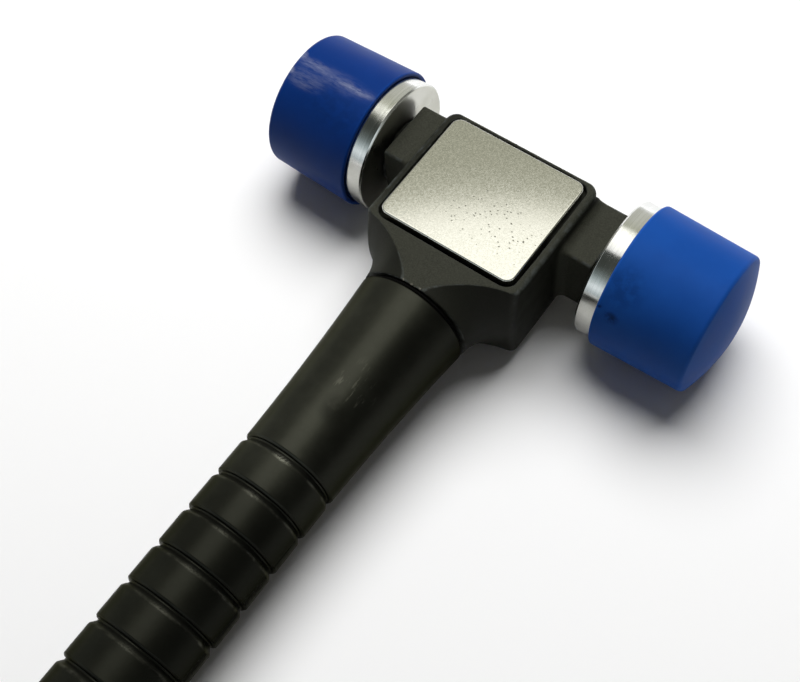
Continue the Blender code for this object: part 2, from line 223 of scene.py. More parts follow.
def polar_match(ring, outline, centre):
    """Points of an outline that lie in the same directions from centre as those of a ring.

    The outline's sides are cut up finely, and its distance from the centre is read off by angle.
    """
    share = np.linspace(0, 1, 60, endpoint=False)[:, None]
    fine = outline[:, None] + share * (np.roll(outline, -1, 0) - outline)[:, None]
    spoke = fine.reshape(-1, 2) - centre
    turn = np.arctan2(spoke[:, 1], spoke[:, 0])
    order = np.argsort(turn)
    want = np.arctan2(ring[:, 1] - centre[1], ring[:, 0] - centre[0])
    reach = np.linalg.norm(spoke, axis=1)[order]
    found = np.interp(want, turn[order], reach, period=2 * math.pi)
    return centre + found[:, None] * np.stack((np.cos(want), np.sin(want)), -1)


def skin(name, rings, poles=None, loop=False, wear_and_sheen=None):
    """Closed mesh over rings of points.

    Neighbouring rings are joined by quads. A pole closes each end with a fan of triangles, or
    the last ring joins the first. The sign of the volume shows which way the faces point, and
    turns them outward. Wear and sheen is kept as the points' own attribute: one where an edge
    is worn and also given a painted highlight.
    """
    levels, count = rings.shape[:2]
    index = np.arange(levels * count).reshape(levels, count)
    aside = np.roll(index, -1, axis=1)
    quads = np.stack((index, aside, np.roll(aside, -1, 0), np.roll(index, -1, 0)), -1)
    quads = (quads if loop else quads[:-1]).reshape(-1, 4)
    points = rings.reshape(-1, 3)
    fans = np.zeros((0, 3), int)
    if poles is not None:
        ends = np.full(count, len(points)), np.full(count, len(points) + 1)
        points = np.concatenate((points, np.asarray(poles, float)))
        fans = np.concatenate((
            np.stack((aside[0], index[0], ends[0]), -1),
            np.stack((index[-1], aside[-1], ends[1]), -1),
        ))
    corners = points[np.concatenate((quads[:, :3], quads[:, [0, 2, 3]], fans))]
    corners = corners - points.mean(0)
    volume = (corners[:, 0] * np.cross(corners[:, 1], corners[:, 2])).sum()
    if volume < 0:
        quads, fans = quads[:, ::-1], fans[:, ::-1]
    mesh = bpy.data.meshes.new(name)
    mesh.from_pydata((points * MM + CROSSING).tolist(), [], quads.tolist() + fans.tolist())
    mesh.shade_smooth()
    mesh.set_sharp_from_angle(angle=SHARP_ANGLE)
    if wear_and_sheen is not None:
        rubbed_sheen = np.zeros(len(points))
        rubbed_sheen[:wear_and_sheen.size] = wear_and_sheen.ravel()
        mesh.attributes.new("wear_and_sheen", "FLOAT", "POINT").data.foreach_set("value", rubbed_sheen)
    return mesh


def turned(name, profile, axis, count=TURN_COUNT, ring=False):
    """A profile of (distance along the axis, radius) points carried round the axis.

    A ring's profile joins its own start. Any other starts and ends on the axis.
    """
    along, out = np.asarray(profile, float).T[..., None, None]
    turn = np.linspace(0, 2 * math.pi, count, endpoint=False)[:, None]
    around = np.cos(turn) * Z_AXIS + np.sin(turn) * np.cross(axis, Z_AXIS)
    rings = along * axis + out * around
    if ring:
        return skin(name, rings, loop=True)
    return skin(name, rings[1:-1], poles=(rings[0, 0], rings[-1, 0]))


def flat_ring(start, end, inner, outer, edge):
    """Profile of a flat ring with all four edges rounded."""
    middle = ((start + end) / 2, inner)
    corners = [middle, (start, inner), (start, outer), (end, outer), (end, inner), middle]
    return soften(corners, edge, steps=4, lead=0.04)[:-1]


def block_outline(z):
    """Plan outline of the block, flare and neck at each height z, as (levels, points, 2).

    The neck and flare are turned about the handle's axis and widened, so where their half height
    is R their half width at height z is a fixed multiple of the root of R squared less z squared.
    R follows a hollow quarter circle that the neck's end cuts short. The corner where the flare
    meets the side is a quadratic curve that starts on the flare and ends on the side.
    """
    z = np.asarray(z, float)[:, None]
    rise, bow = NECK_RADIUS + FLARE_RADIUS, NECK_CHAMFER - NECK_END - FLARE_CUT
    widen = 1 + NECK_WIDEN / NECK_RADIUS

    def width(radius):
        return widen * np.sqrt(radius * radius - z * z)

    def strip(count):
        return np.linspace(0, 1, count, endpoint=False)[None]

    def pair(x, y):
        return np.stack(np.broadcast_arrays(x, y, z)[:2], -1)

    def swept(turn):
        radius = rise - FLARE_RADIUS * np.cos(turn)
        return pair(width(radius), bow + FLARE_RADIUS * np.sin(turn))

    end_radius = NECK_RADIUS - NECK_CHAMFER
    neck_end = pair(strip(NECK_POINTS) * width(end_radius), -NECK_END)
    first_turn = math.asin(FLARE_CUT / FLARE_RADIUS)
    start_radius = rise - FLARE_RADIUS * math.cos(first_turn)
    share = strip(CHAMFER_POINTS)
    chamfer_width = width(end_radius + share * (start_radius - end_radius))
    chamfer = pair(chamfer_width, share * NECK_CHAMFER - NECK_END)
    meeting = np.minimum(np.sqrt((BLOCK_SIDE / widen) ** 2 + z * z), rise)
    meet_turn = np.arccos((rise - meeting) / FLARE_RADIUS)
    shoulder = np.maximum(BLOCK_SIDE - width(rise), 0)
    last_turn = meet_turn - (FRONT_CORNER - shoulder) / FLARE_RADIUS
    flare = swept(first_turn + strip(FLARE_POINTS) * (last_turn - first_turn))
    meet_y = bow + FLARE_RADIUS * np.sin(meet_turn)
    side_start, side_end = meet_y + FRONT_CORNER, BLOCK_BACK - BACK_CORNER
    first, tip, last = swept(last_turn), pair(BLOCK_SIDE, meet_y), pair(BLOCK_SIDE, side_start)
    share = strip(CORNER_POINTS)[..., None]
    corner = (1 - share) ** 2 * first + 2 * share * (1 - share) * tip + share**2 * last
    side = pair(BLOCK_SIDE, side_start + SIDE_PLACES * (side_end - side_start))
    swing = strip(BEND_POINTS) * math.pi / 2
    bend_side = BLOCK_SIDE - BACK_CORNER * (1 - np.cos(swing))
    bend = pair(bend_side, side_end + BACK_CORNER * np.sin(swing))
    back = pair((BLOCK_SIDE - BACK_CORNER) * (1 - BACK_PLACES), BLOCK_BACK)
    right = np.concatenate((neck_end, chamfer, flare, corner, side, bend, back), 1)
    left = right[:, -2:0:-1] * (-1, 1)
    return np.concatenate((right, left), 1)


def rim_radii(top):
    """Rounding of the block's rim at each point of its outline, in step with block_outline."""
    back = TOP_BACK_RIM if top else SIDE_RIM
    right = np.concatenate((
        np.full(NECK_POINTS + CHAMFER_POINTS, NECK_RIM),
        np.full(FLARE_POINTS, FRONT_RIM),
        np.linspace(FRONT_RIM, SIDE_RIM, CORNER_POINTS, endpoint=False),
        np.full(SIDE_PLACES.size, SIDE_RIM),
        np.linspace(SIDE_RIM, back, BEND_POINTS, endpoint=False),
        np.full(BACK_PLACES.size, back),
    ))
    return np.concatenate((right, right[-2:0:-1]))


def bend_wear(share):
    """Sine of twice the angle whose sine is share: one at a bend's middle, none at its ends."""
    return 2 * share * np.sqrt(1 - share**2)


def block_mesh():
    """The block as a stack of plan outlines, from the underside's middle to the recess's middle.

    Near the top and the underside each point moves inward along the outline's normal by
    r - sqrt(r^2 - d^2), where r is the rim's rounding there and d is how far the level has
    gone into it. Above the rim the rings run in to the recess, down its wall and over its floor.
    """
    bend = np.radians(np.linspace(0, 90, 11))
    rims = np.array([[NECK_RIM], [FRONT_RIM], [TOP_BACK_RIM], [SIDE_RIM]])
    near = np.unique(np.round(BLOCK_TOP - rims * (1 - np.sin(bend)), 4))
    limit = math.asin((BLOCK_TOP - SIDE_RIM) / NECK_RADIUS)
    middle = NECK_RADIUS * np.sin(np.linspace(-limit, limit, 41)[1:-1])
    z = np.concatenate((-near[::-1], middle, near))
    plan = block_outline(z)
    step = np.roll(plan, -1, 1) - np.roll(plan, 1, 1)
    normal = np.stack((step[..., 1], -step[..., 0]), -1)
    normal = normal / np.linalg.norm(normal, axis=-1, keepdims=True)
    radius = np.where(z[:, None] > 0, rim_radii(True), rim_radii(False))
    depth = np.clip(np.abs(z)[:, None] - (BLOCK_TOP - radius), 0, radius)
    inset = radius - np.sqrt(radius**2 - depth**2)
    plan = plan - inset[..., None] * normal
    wear_and_sheen = bend_wear(depth / radius)
    half = np.concatenate((
        np.zeros(NECK_POINTS),
        np.ones(CHAMFER_POINTS),
        np.zeros(FLARE_POINTS),
        CORNER_WEAR * np.sin(np.linspace(0, math.pi, CORNER_POINTS)),
        np.zeros(SIDE_PLACES.size + BEND_POINTS + BACK_PLACES.size),
    ))
    wear_and_sheen = np.maximum(wear_and_sheen, np.concatenate((half, half[-2:0:-1])))
    stack = np.concatenate((plan, np.broadcast_to(z[:, None, None], plan.shape[:2] + (1,))), -1)

    def level(outline, height):
        return np.concatenate((outline, np.full((len(outline), 1), height)), 1)

    under = plan[0]
    heart = np.array([0, (RECESS_FRONT + RECESS_BACK) / 2])
    bottom = [level(heart + share * (under - heart), -BLOCK_TOP) for share in (0.25, 0.6, 0.97)]
    grow = np.array([RECESS_EDGE, RECESS_EDGE * 0.3, 0, 0, -RECESS_FOOT])
    low = np.stack((-RECESS_SIDE - grow, RECESS_FRONT - grow), -1)
    high = np.stack((RECESS_SIDE + grow, RECESS_BACK + grow), -1)
    outlines = rounded_rectangle(low, high, RECESS_CORNER + grow, bend=40)
    heights = (
        BLOCK_TOP,
        BLOCK_TOP - RECESS_EDGE * 0.3,
        BLOCK_TOP - RECESS_EDGE,
        RECESS_FLOOR + RECESS_FOOT,
        RECESS_FLOOR,
    )
    top = [level(polar_match(plan[-1], o, heart), h) for o, h in zip(outlines, heights)]
    crest, brink, floor = plan[-1], top[0][:, :2], top[-1][:, :2]
    top = [level(crest + share * (brink - crest), BLOCK_TOP) for share in (0.04, 0.93)] + top
    top += [level(heart + share * (floor - heart), RECESS_FLOOR) for share in (0.95, 0.5, 0.2)]
    rings = np.concatenate((np.stack(bottom), stack, np.stack(top)))
    # Worn edges with a painted highlight over the recess's edge, as over the block's rims.
    rim_wear = np.zeros((len(top), wear_and_sheen.shape[1]))
    rim_wear[2:5] = np.array([[0.3], [1.0], [0.6]])     # over the recess's edge
    wear_and_sheen = np.concatenate((np.zeros((len(bottom), wear_and_sheen.shape[1])), wear_and_sheen, rim_wear))
    poles = ((*heart, -BLOCK_TOP), (*heart, RECESS_FLOOR))
    return skin("head_block", rings, poles=poles, wear_and_sheen=wear_and_sheen)


def boss_mesh():
    """One bar through the block: sections along X, from one blind hole's floor to the other's.

    A section is a rectangle with round corners. At distance s from the block's side it is grown
    by r - sqrt(r^2 - (r - s)^2), where r is the radius of the hollow fillet, and at the bar's end
    it is drawn in by a quarter circle. The back has no fillet. The end face then runs in to the
    hole.
    """
    fillet = np.radians(np.linspace(180, 270, 13))
    edge = np.radians(np.linspace(0, 90, 8))
    straight = BOSS_END - BOSS_END_EDGE
    x = np.concatenate((
        [0, BLOCK_SIDE - BOSS_ROOT],
        BLOCK_SIDE + BOSS_FILLET * (1 + np.cos(fillet)),
        [BLOCK_SIDE + BOSS_FILLET + FLAT_LEAD, straight - FLAT_LEAD],
        straight + BOSS_END_EDGE * np.sin(edge),
    ))
    grow = np.concatenate((
        [BOSS_FILLET, BOSS_FILLET],
        BOSS_FILLET * (1 + np.sin(fillet)),
        [0, 0],
        -BOSS_END_EDGE * (1 - np.cos(edge)),
    ))
    low = np.stack((-BOSS_DEPTH - grow, -BOSS_HEIGHT - grow), -1)
    high = np.stack((BOSS_DEPTH + np.minimum(grow, 0), BOSS_HEIGHT + grow), -1)
    section = rounded_rectangle(low, high, BOSS_EDGE + grow, bend=10)
    turn = np.arctan2(section[-1, :, 1], section[-1, :, 0])
    spoke = np.stack((np.cos(turn), np.sin(turn)), -1)
    inner = section[-1] * 0.97      # on the end face, just inside its edge
    hole = STUD_BORE + np.array([HOLE_BEVEL + 0.1, HOLE_BEVEL, 0, 0, 0])
    bevel_end = BOSS_END - HOLE_BEVEL
    hole_x = (BOSS_END, BOSS_END, bevel_end, bevel_end - FLAT_LEAD, BOSS_BORE_END)
    section = np.concatenate((section, inner[None], hole[:, None, None] * spoke))
    x = np.concatenate((x, [BOSS_END], hole_x))[:, None, None]
    right = np.concatenate((np.broadcast_to(x, section.shape[:2] + (1,)), section), -1)
    left = right[:0:-1] * (-1, 1, 1)
    ends = ((-BOSS_BORE_END, 0, 0), (BOSS_BORE_END, 0, 0))
    # Worn edges with a painted highlight along the bar's corners and end edge.
    corner = np.tile(np.sin(np.linspace(0, math.pi, 13)), 4)
    inside, flat, face = np.zeros(2 + len(fillet)), np.ones(2), np.zeros(1 + len(hole))
    along = np.concatenate((inside, flat, np.ones(len(edge)), face))[:, None]
    end_bend = np.concatenate((inside, 0 * flat, np.sin(2 * edge), face))[:, None]
    wear_and_sheen = np.maximum(along * corner, end_bend)
    wear_and_sheen = np.concatenate((wear_and_sheen[:0:-1], wear_and_sheen))
    return skin("boss_bar", np.concatenate((left, right)), poles=ends, wear_and_sheen=wear_and_sheen)


def plate_mesh():
    """The plate as a stack of outlines with a rounded upper edge, closed by shrinking rings."""
    bend = np.radians(np.linspace(0, 90, 8))
    edge = PLATE_EDGE * (1 - np.cos(bend))
    inset = np.concatenate(([PLATE_FOOT, 0, 0], edge, [PLATE_EDGE + FLAT_LEAD]))
    shoulder = PLATE_TOP - PLATE_EDGE
    z = np.concatenate((
        [PLATE_BOTTOM, PLATE_BOTTOM + PLATE_FOOT, shoulder - FLAT_LEAD],
        shoulder + PLATE_EDGE * np.sin(bend),
        [PLATE_TOP],
    ))
    low = np.stack((-PLATE_SIDE + inset, PLATE_FRONT + inset), -1)
    high = np.stack((PLATE_SIDE - inset, PLATE_BACK - inset), -1)
    plan = rounded_rectangle(low, high, PLATE_CORNER - inset)
    heart = np.array([0, (PLATE_FRONT + PLATE_BACK) / 2])
    share = np.array([0.8, 0.5, 0.2])[:, None, None]
    plan = np.concatenate((plan, heart + share * (plan[-1] - heart)))
    z = np.concatenate((z, [PLATE_TOP] * 3))[:, None, None]
    rings = np.concatenate((plan, np.broadcast_to(z, plan.shape[:2] + (1,))), -1)
    return skin("plate", rings, poles=((*heart, PLATE_BOTTOM), (*heart, PLATE_TOP)))


def stud_mesh(name, axis):
    """Threaded stud: the radius falls from the crest by a V that climbs one pitch each turn.

    The V is the distance of (along / pitch - angle / full turn) from the nearest whole number,
    with its crest and root flattened. Both ends are cut back by a cone.
    """
    along = np.arange(STUD_START, STUD_END + 0.01, THREAD_PITCH / THREAD_STEPS)[:, None]
    turn = np.linspace(0, 2 * math.pi, THREAD_COUNT, endpoint=False)
    phase = along / THREAD_PITCH - turn / (2 * math.pi)
    wave = np.abs(phase - np.round(phase)) * 2
    radius = STUD_RADIUS - THREAD_DEPTH * np.clip((wave - THREAD_CREST) / THREAD_FLANK, 0, 1)
    from_end = np.minimum(along - along[0], along[-1] - along)
    radius = np.minimum(radius, STUD_RADIUS - STUD_CHAMFER + from_end)[..., None]
    around = np.cos(turn)[:, None] * Z_AXIS + np.sin(turn)[:, None] * np.cross(axis, Z_AXIS)
    rings = along[..., None] * axis + radius * around
    return skin(name, rings, poles=(along[0] * axis, along[-1] * axis))


def puck_profile():
    """Half outline of a puck from the floor of its blind hole to the middle of its front."""
    corners = [
        (PUCK_BORE_END, 0),
        (PUCK_BORE_END, STUD_BORE),
        (PUCK_BACK + PUCK_HOLE_BEVEL, STUD_BORE),
        (PUCK_BACK, STUD_BORE + PUCK_HOLE_BEVEL),
        (PUCK_BACK, PUCK_RADIUS - PUCK_CHAMFER),
        (PUCK_BACK + PUCK_CHAMFER, PUCK_RADIUS),
        (PUCK_FRONT - PUCK_CHAMFER, PUCK_FRONT_RADIUS),
        (PUCK_FRONT, PUCK_FRONT_RADIUS - PUCK_CHAMFER),
        (PUCK_FRONT, 0),
    ]
    return soften(corners, (0.3, 0.1, 0.1, 0.18, 0.18, 0.15, 0.15), steps=5, lead=0.06)


def cap_profile():
    """Half outline of a cap from the middle of its inner floor, over the lip, to its tip.

    The side tapers, the rim is part of a circle, and the face is a parabola: its height falls
    with the square of the distance from the axis.
    """
    side_end = (CAP_RIM - CAP_RIM_EDGE, CAP_RIM_RADIUS)
    corners = [
        (CAP_FLOOR, 0),
        (CAP_FLOOR, CAP_FLOOR_BORE),
        (CAP_MOUTH, CAP_BORE),
        (CAP_MOUTH, CAP_MOUTH_RADIUS),
        side_end,
    ]
    cup = soften(corners, (0.6, 0.12, 0.55), steps=8)
    bend = np.radians(np.linspace(90, 20, 11))[1:]
    centre = np.array([side_end[0], CAP_RIM_RADIUS - CAP_RIM_EDGE])
    rim = centre + CAP_RIM_EDGE * np.stack((np.cos(bend), np.sin(bend)), -1)
    share = np.linspace(1, 0, 33)[1:]
    start, reach = rim[-1]
    face = np.stack((start + (CAP_TIP - start) * (1 - share**2), reach * share), -1)
    return np.concatenate((cup, rim, face))


def handle_profile():
    """Half outline of the handle from the floor of its blind hole to the middle of its butt.

    The taper is a straight line less a parabola. One softened groove is repeated at every
    pitch, and the butt's edge is a quarter circle.
    """
    beside = 2.5        # reach of the flats that guide the end bends, left off again after them
    top = soften([
        (HANDLE_BORE_END, 0),
        (HANDLE_BORE_END, HANDLE_BORE),
        (HANDLE_TOP, HANDLE_BORE),
        (HANDLE_TOP, HANDLE_TOP_RADIUS - HANDLE_TOP_EDGE),
        (HANDLE_TOP + HANDLE_TOP_EDGE, HANDLE_TOP_RADIUS),
        (HANDLE_TOP + beside, HANDLE_TOP_RADIUS),
    ], (0.3, 0.3, 0.12, 0.3), steps=5, lead=0.06)[:-1]
    share = np.linspace(0, 1, 33)[1:-1]
    start, end = top[-1, 0], FIRST_GROOVE - GROOVE_LIP
    straight = HANDLE_TOP_RADIUS + share * (GRIP_RADIUS - HANDLE_TOP_RADIUS)
    sag = 4 * TAPER_SAG * share * (1 - share)
    taper = np.stack((start + share * (end - start), straight - sag), -1)
    root = GRIP_RADIUS - GROOVE_DEPTH
    ramp_end = GROOVE_FLOOR + GROOVE_RAMP
    groove = soften([
        (-beside, GRIP_RADIUS),
        (-GROOVE_LIP, GRIP_RADIUS),
        (0, GRIP_RADIUS - GROOVE_LIP),
        (0, root),
        (GROOVE_FLOOR, root),
        (ramp_end, GRIP_RADIUS),
        (ramp_end + beside, GRIP_RADIUS),
    ], (0.35, 0.3, 0.25, 0.3, 0.9), steps=3, lead=0.04)[1:-1]
    places = FIRST_GROOVE + GROOVE_PITCH * np.arange(GROOVE_COUNT)
    grooves = (groove + places[:, None, None] * (1, 0)).reshape(-1, 2)
    bend = np.radians(np.linspace(90, 0, 13))
    centre = np.array([HANDLE_END, GRIP_RADIUS]) - BUTT_EDGE
    butt = centre + BUTT_EDGE * np.stack((np.cos(bend), np.sin(bend)), -1)
    before = [(centre[0] - BUTT_LEAD, GRIP_RADIUS)]
    after = [(HANDLE_END, centre[1] - BUTT_LEAD), (HANDLE_END, 0)]
    return np.concatenate((top, taper, grooves, before, butt, after))


# ---------------------------------------------------------------- finishes

class Nodes:
    """A node tree, with short ways to add nodes and join them."""

    def __init__(self, tree):
        self.tree = tree

    def node(self, kind, inputs=None, **settings):
        made = self.tree.nodes.new("ShaderNode" + kind)
        for label, value in settings.items():
            setattr(made, label, value)
        for label, value in (inputs or {}).items():
            self.feed(made.inputs[label], value)
        return made

    def feed(self, socket, value):
        if isinstance(value, bpy.types.NodeSocket):
            self.tree.links.new(value, socket)
        elif isinstance(value, tuple) and len(value) == 3 and socket.type == "RGBA":
            socket.default_value = (*value, 1.0)
        else:
            socket.default_value = value

    def math(self, operation, a, b=0.0):
        return self.node("Math", {0: a, 1: b}, operation=operation).outputs[0]

    def times(self, a, b):
        return self.math("MULTIPLY", a, b)

    def band(self, value, low, high, bottom=0.0, top=1.0):
        """Bottom where value is under low, top where it is over high, smooth between."""
        inputs = {"Value": value, "From Min": low, "From Max": high}
        inputs |= {"To Min": bottom, "To Max": top}
        return self.node("MapRange", inputs, interpolation_type="SMOOTHSTEP").outputs["Result"]

    def span(self, distance, low, high, bottom=0.0, top=1.0):
        """A band over a distance, with low and high in millimetres."""
        return self.band(distance, low * MM, high * MM, bottom, top)

    def mix(self, share, a, b):
        made = self.node("Mix", data_type="RGBA")
        for place, value in ((0, share), (6, a), (7, b)):
            self.feed(made.inputs[place], value)
        return made.outputs[2]

    def backdrop(self, plain, shown):
        """Colour that the camera and mirrored rays see as shown, and matt surfaces as plain."""
        path = self.node("LightPath").outputs
        seen = path["Is Camera Ray"]
        for kind in ("Is Glossy Ray", "Is Transmission Ray"):
            seen = self.math("MAXIMUM", seen, path[kind])
        return self.mix(seen, plain, shown)


class Finish(Nodes):
    """A Principled material, with short ways to read and mark the surface that it is on."""

    def __init__(self, name, **plain):
        self.material = bpy.data.materials.new(name)
        self.material.use_nodes = True
        super().__init__(self.material.node_tree)
        self.shader = self.tree.nodes["Principled BSDF"]
        self.place = self.node("TexCoord").outputs["Object"]
        for label, value in plain.items():
            self.set(label.replace("_", " ").title().replace("Ior", "IOR"), value)

    def set(self, label, value):
        self.feed(self.shader.inputs[label], value)

    def stretch(self, scale, move=(0, 0, 0)):
        """Object coordinates less a place, then stretched by a scale along each axis."""
        centred = self.node("VectorMath", {0: self.place, 1: move}, operation="SUBTRACT").outputs[0]
        return self.node("VectorMath", {0: centred, 1: scale}, operation="MULTIPLY").outputs[0]

    def noise(self, scale, detail=3.0, rough=0.55, where=None):
        inputs = {"Vector": where or self.place, "Scale": scale}
        inputs |= {"Detail": detail, "Roughness": rough}
        return self.node("TexNoise", inputs).outputs["Fac"]

    def spots(self, scale, where=None):
        """Distance to the nearest of many scattered points."""
        inputs = {"Vector": where or self.place, "Scale": scale}
        return self.node("TexVoronoi", inputs).outputs["Distance"]

    def near(self, place, reach, scale=(1, 1, 1)):
        """One at a place in the hammer's millimetres, none past reach, stretched by scale."""
        centre = tuple(np.array(place) * MM + CROSSING)
        spoke = self.stretch(scale, centre)
        far = self.node("VectorMath", {0: spoke}, operation="LENGTH").outputs["Value"]
        return self.span(far, 0.2 * reach, reach, 1.0, 0.0)

    def bump(self, height, strength, distance, after=None):
        inputs = {"Height": height, "Strength": strength, "Distance": distance}
        if after is not None:
            inputs["Normal"] = after
        return self.node("Bump", inputs).outputs["Normal"]

    def hammer_place(self):
        """Distances along the hammer's three axes from the point where they cross."""
        centred = self.stretch((1, 1, 1), tuple(CROSSING))
        return tuple(self.node("SeparateXYZ", {0: centred}).outputs)

    def about_axis(self, axis):
        """Distance along a turned piece's axis, and from it."""
        centred = self.stretch((1, 1, 1), tuple(CROSSING))
        keep = tuple(1.0 - np.abs(axis))
        across = self.node("VectorMath", {0: centred, 1: keep}, operation="MULTIPLY").outputs[0]
        far = self.node("VectorMath", {0: across}, operation="LENGTH").outputs["Value"]
        along = self.node("VectorMath", {0: centred, 1: tuple(axis)}, operation="DOT_PRODUCT")
        return along.outputs["Value"], far

    def turning_marks(self, axis, scale):
        """Fine rings left by turning: noise read from the two distances alone."""
        along, far = self.about_axis(axis)
        where = self.node("CombineXYZ", {"X": along, "Y": far}).outputs[0]
        return self.noise(scale, 4.0, 0.6, where)


# Bare specks on the neck's rim: place and reach in millimetres
HEAD_SPECKS = (
    ((-2.6, -38.3, 13.8), 0.55),
    ((-0.2, -38.35, 13.75), 0.6),
    ((2.1, -38.1, 13.85), 0.4),
    ((0.8, -38.3, 13.7), 0.3),
)


def head_finish():
    """Black cast head with a black coating: fine grain, cloudy tone, bare specks, and worn
    edges that carry a bluish painted highlight.

    Painted shade darkens the sides, the flare and the left rim below the top edge, less so
    on the flare's left, so the top reads paler.
    """
    dark, light = (0.025, 0.0258, 0.0196), (0.0455, 0.0465, 0.0355)
    clouded, shade_tone = (0.040, 0.041, 0.0315), (0.0075, 0.0078, 0.006)
    rubbed_sheen_tone, bare_tone = (0.082, 0.092, 0.091), (0.30, 0.28, 0.22)
    f = Finish("head_black", metallic=0.0, specular_ior_level=0.07)
    grain = f.noise(3200, 3.0, 0.65)
    cloud = f.noise(140, 4.0, 0.6)
    tone = f.mix(f.band(grain, 0.3, 0.75), dark, light)
    tone = f.mix(f.band(cloud, 0.35, 0.75, 0.0, 0.45), tone, clouded)
    x, y, z = f.hammer_place()
    # Painted shade: below the top edge the sides, the flare and the left rim are darkened, less on
    # the flare's left.
    on_flare = f.span(y, -27.5, -26, 1.0, 0.0)
    below = f.times(f.span(z, 13.7, 13.86, 1.0, 0.0), on_flare)
    below = f.math("MAXIMUM", below, f.span(z, 12.7, 13.6, 1.0, 0.0))
    within = f.span(f.math("ABSOLUTE", x), BLOCK_SIDE + 0.1, BLOCK_SIDE + 0.8, 1.0, 0.0)
    paler = f.times(f.span(x, -12.5, -7.5, 1.0, 0.0), f.span(y, -27, -23, 0.5, 0.0))
    side_shade = f.times(f.times(below, within), f.math("SUBTRACT", 0.8, paler))
    left_rim_shade = f.times(f.span(x, -18.3, -17.4, 0.6, 0.0), f.span(y, -26, -20))
    side_shade = f.math("MAXIMUM", side_shade, f.times(left_rim_shade, within))
    tone = f.mix(side_shade, tone, shade_tone)
    # Worn edges, lightened bluish by a painted highlight as well.
    wear_and_sheen = f.node("Attribute", attribute_name="wear_and_sheen").outputs["Fac"]
    patchy = f.band(f.noise(420, 4.0, 0.65), 0.38, 0.7)
    rubbed_sheen = f.times(f.band(wear_and_sheen, 0.35, 1.0), patchy)
    tone = f.mix(f.times(rubbed_sheen, 0.55), tone, rubbed_sheen_tone)
    bare = 0.0
    for place, reach in HEAD_SPECKS:
        bare = f.math("MAXIMUM", bare, f.near(place, reach))
    bare = f.times(bare, f.band(f.noise(2600, 2.0), 0.42, 0.55))
    f.set("Base Color", f.mix(f.times(bare, 0.5), tone, bare_tone))
    f.set("Roughness", f.band(cloud, 0.25, 0.8, 0.54, 0.66))
    f.set("Normal", f.bump(grain, 0.22, 0.00006))
    return f.material


def plate_finish():
    """Nickelled plate: sandy satin grain, dark pits toward the handle, a few sparkles."""
    dark, light, clouded = (0.545, 0.545, 0.498), (0.755, 0.75, 0.712), (0.63, 0.625, 0.58)
    bright, pitted = (0.97, 0.96, 0.92), (0.16, 0.15, 0.12)
    f = Finish("plate_nickel", metallic=1.0)
    grain = f.noise(2400, 3.0, 0.75)
    fine = f.noise(5200, 2.0, 0.6)
    cloud = f.noise(90, 3.0, 0.6)
    tone = f.mix(f.band(grain, 0.3, 0.7), dark, light)
    tone = f.mix(f.band(cloud, 0.4, 0.7, 0.0, 0.3), tone, clouded)
    sparkle = f.times(f.band(f.spots(900), 0.1, 0.2, 1.0, 0.0), f.band(fine, 0.52, 0.62))
    tone = f.mix(f.times(sparkle, 0.6), tone, bright)
    crowd = f.near((6.0, -14.5, PLATE_TOP), 17.0, (0.8, 1.5, 1.0))
    crowd = f.band(f.math("ADD", crowd, f.noise(420, 3.0)), 0.95, 1.25)
    stray = f.band(f.noise(310, 2.0), 0.66, 0.7)
    pits = f.band(f.spots(760, f.stretch((1.0, 1.5, 1.0))), 0.09, 0.2, 1.0, 0.0)
    pits = f.times(pits, f.math("MAXIMUM", crowd, stray))
    f.set("Base Color", f.mix(f.times(pits, 0.85), tone, pitted))
    f.set("Roughness", f.band(grain, 0.2, 0.8, 0.085, 0.135))
    f.set("Normal", f.bump(pits, 0.5, -0.00009, f.bump(grain, 0.05, 0.00003)))
    return f.material


def puck_finish():
    """Turned aluminium: close rings in the surface, faint stains, a duller back face, and painted
    shade over the low side.
    """
    dark, light, stained = (0.70, 0.71, 0.70), (0.81, 0.82, 0.81), (0.62, 0.62, 0.58)
    low_shade_tone, dull_back = (0.37, 0.37, 0.33), (0.52, 0.52, 0.46)
    f = Finish("puck_aluminium", metallic=1.0)
    rings = f.turning_marks(X_AXIS, 3800)
    stain = f.noise(220, 4.0, 0.6)
    from_middle = f.math("ABSOLUTE", f.about_axis(X_AXIS)[0])
    back_face = f.span(from_middle, PUCK_BACK + 0.1, PUCK_BACK + 0.3, 1.0, 0.0)
    tone = f.mix(f.band(rings, 0.3, 0.7), dark, light)
    tone = f.mix(f.band(stain, 0.5, 0.75, 0.0, 0.35), tone, stained)
    # Painted shade: the low side darkened, mixed with the stains.
    low = f.span(f.hammer_place()[2], 7.5, 11, 0.85, 0.0)
    tone = f.mix(f.times(low, f.band(stain, 0.2, 0.6, 0.75, 1.0)), tone, low_shade_tone)
    f.set("Base Color", f.mix(f.times(back_face, 0.8), tone, dull_back))
    rough = f.band(stain, 0.3, 0.8, 0.13, 0.26)
    f.set("Roughness", f.math("ADD", rough, f.times(back_face, 0.14)))
    dimples = f.noise(1100, 4.0, 0.65)
    f.set("Normal", f.bump(rings, 0.12, 0.00003, f.bump(dimples, 0.1, 0.00006)))
    return f.material


